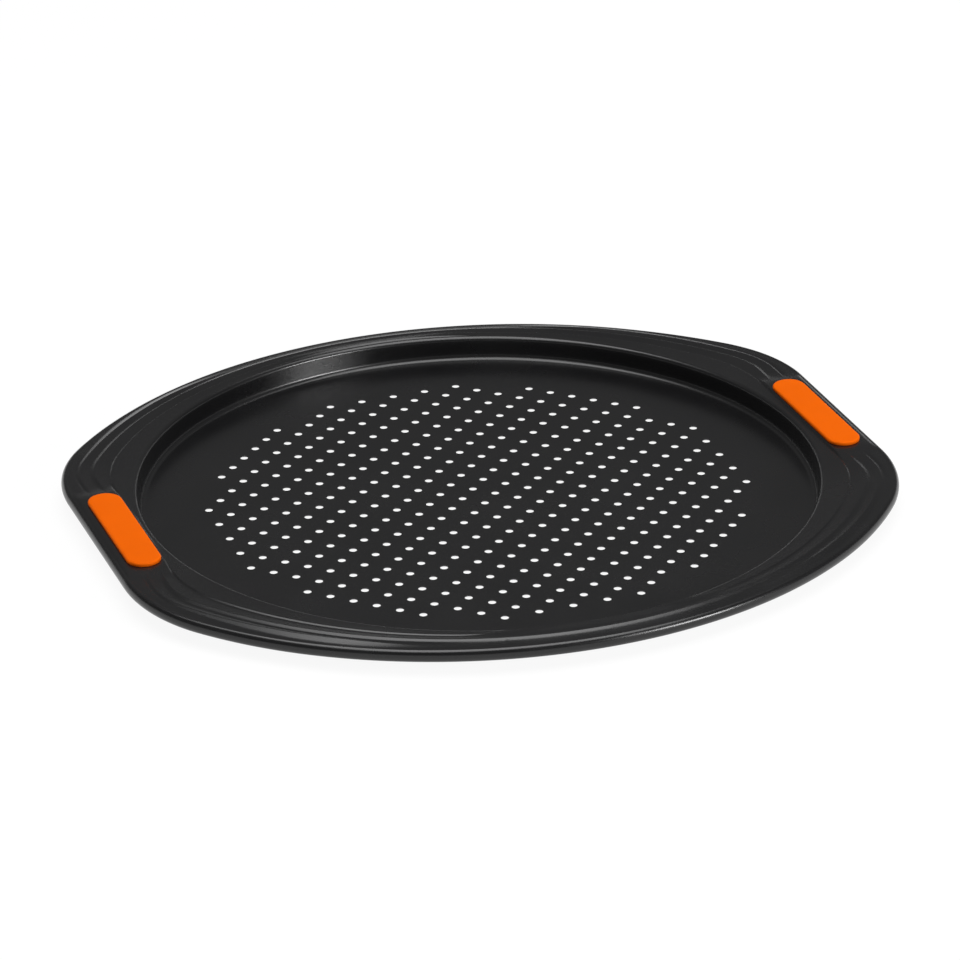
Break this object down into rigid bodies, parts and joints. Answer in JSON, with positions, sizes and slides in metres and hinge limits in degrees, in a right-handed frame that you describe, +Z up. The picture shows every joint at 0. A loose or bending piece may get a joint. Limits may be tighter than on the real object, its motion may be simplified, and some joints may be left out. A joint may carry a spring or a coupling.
{
  "type": "pizza pan",
  "caption": "Shallow perforated steel pizza pan with a round floor, a wide ridged rim shaped as a rounded lens, and a silicone grip moulded through each end of the rim.",
  "frame": {"origin": "on the pan's axis, on the underside of the floor, where the pan rests", "axes": "+Z up, X through the two grips, Y from front to back"},
  "size_m": [0.3878, 0.3704, 0.0162],
  "materials": {
    "coated_steel": "satin black non-stick coating on pressed steel",
    "silicone": "soft matt orange silicone"
  },
  "bodies": {
    "root": {"pan": "coated_steel", "grip_left": "silicone", "grip_right": "silicone"}
  },
  "joints": []
}
